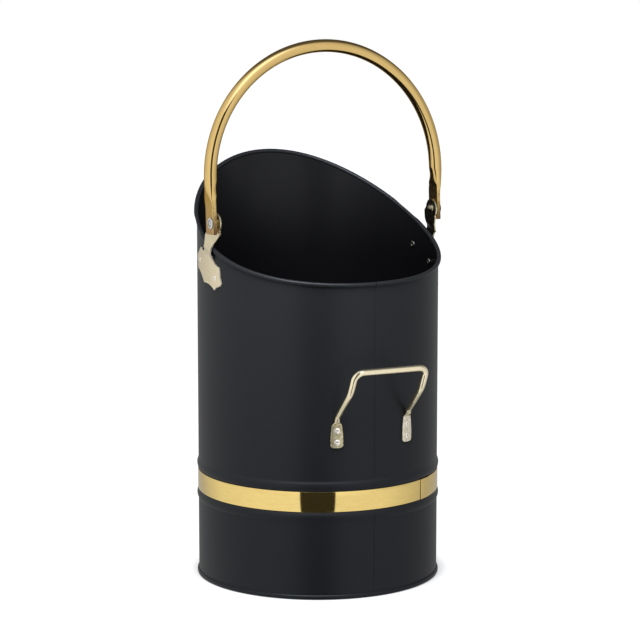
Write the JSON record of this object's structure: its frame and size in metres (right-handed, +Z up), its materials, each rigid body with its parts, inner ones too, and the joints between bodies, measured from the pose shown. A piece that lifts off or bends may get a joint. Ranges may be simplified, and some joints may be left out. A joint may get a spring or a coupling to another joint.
{
  "type": "coal scuttle",
  "caption": "Round sheet-metal coal scuttle with a slanted curved mouth, rolled rim, brass band, swinging tube bail on ornamental ears and a rod tipping handle.",
  "frame": {"origin": "centre of the can's axis, on the surface that the foot seam stands on", "axes": "+Z up along the can's axis, -Y towards the low side with the seam and the tipping handle, X along the bail's pivot axis"},
  "size_m": [0.262, 0.2786, 0.5364],
  "materials": {
    "black_coat": "satin black powder coat",
    "polished_brass": "polished",
    "pale_brass": "satin, pale",
    "rivet_steel": "zinc-plated"
  },
  "bodies": {
    "scuttle": {"body_shell": "black_coat", "rim_roll": "black_coat", "base_pan": "black_coat", "foot_seam": "black_coat", "brass_band": "polished_brass", "left_ear": "pale_brass", "right_ear": "pale_brass", "left_pivot_rivet": "rivet_steel", "right_pivot_rivet": "rivet_steel", "left_washer": "polished_brass", "right_washer": "polished_brass", "left_ear_front_rivet": "rivet_steel", "left_ear_back_rivet": "rivet_steel", "right_ear_front_rivet": "rivet_steel", "right_ear_back_rivet": "rivet_steel", "tipping_handle": "pale_brass", "left_pad_low_rivet": "rivet_steel", "left_pad_top_rivet": "rivet_steel", "right_pad_low_rivet": "rivet_steel", "right_pad_top_rivet": "rivet_steel"},
    "bail": {"bail": "polished_brass"}
  },
  "joints": [
    {"name": "bail_swing", "type": "hinge", "parent": "scuttle", "child": "bail", "pos_m": [0, -0.01916, 0.36334], "axis": [1, 0, 0], "range_deg": [-93, 143]}
  ]
}
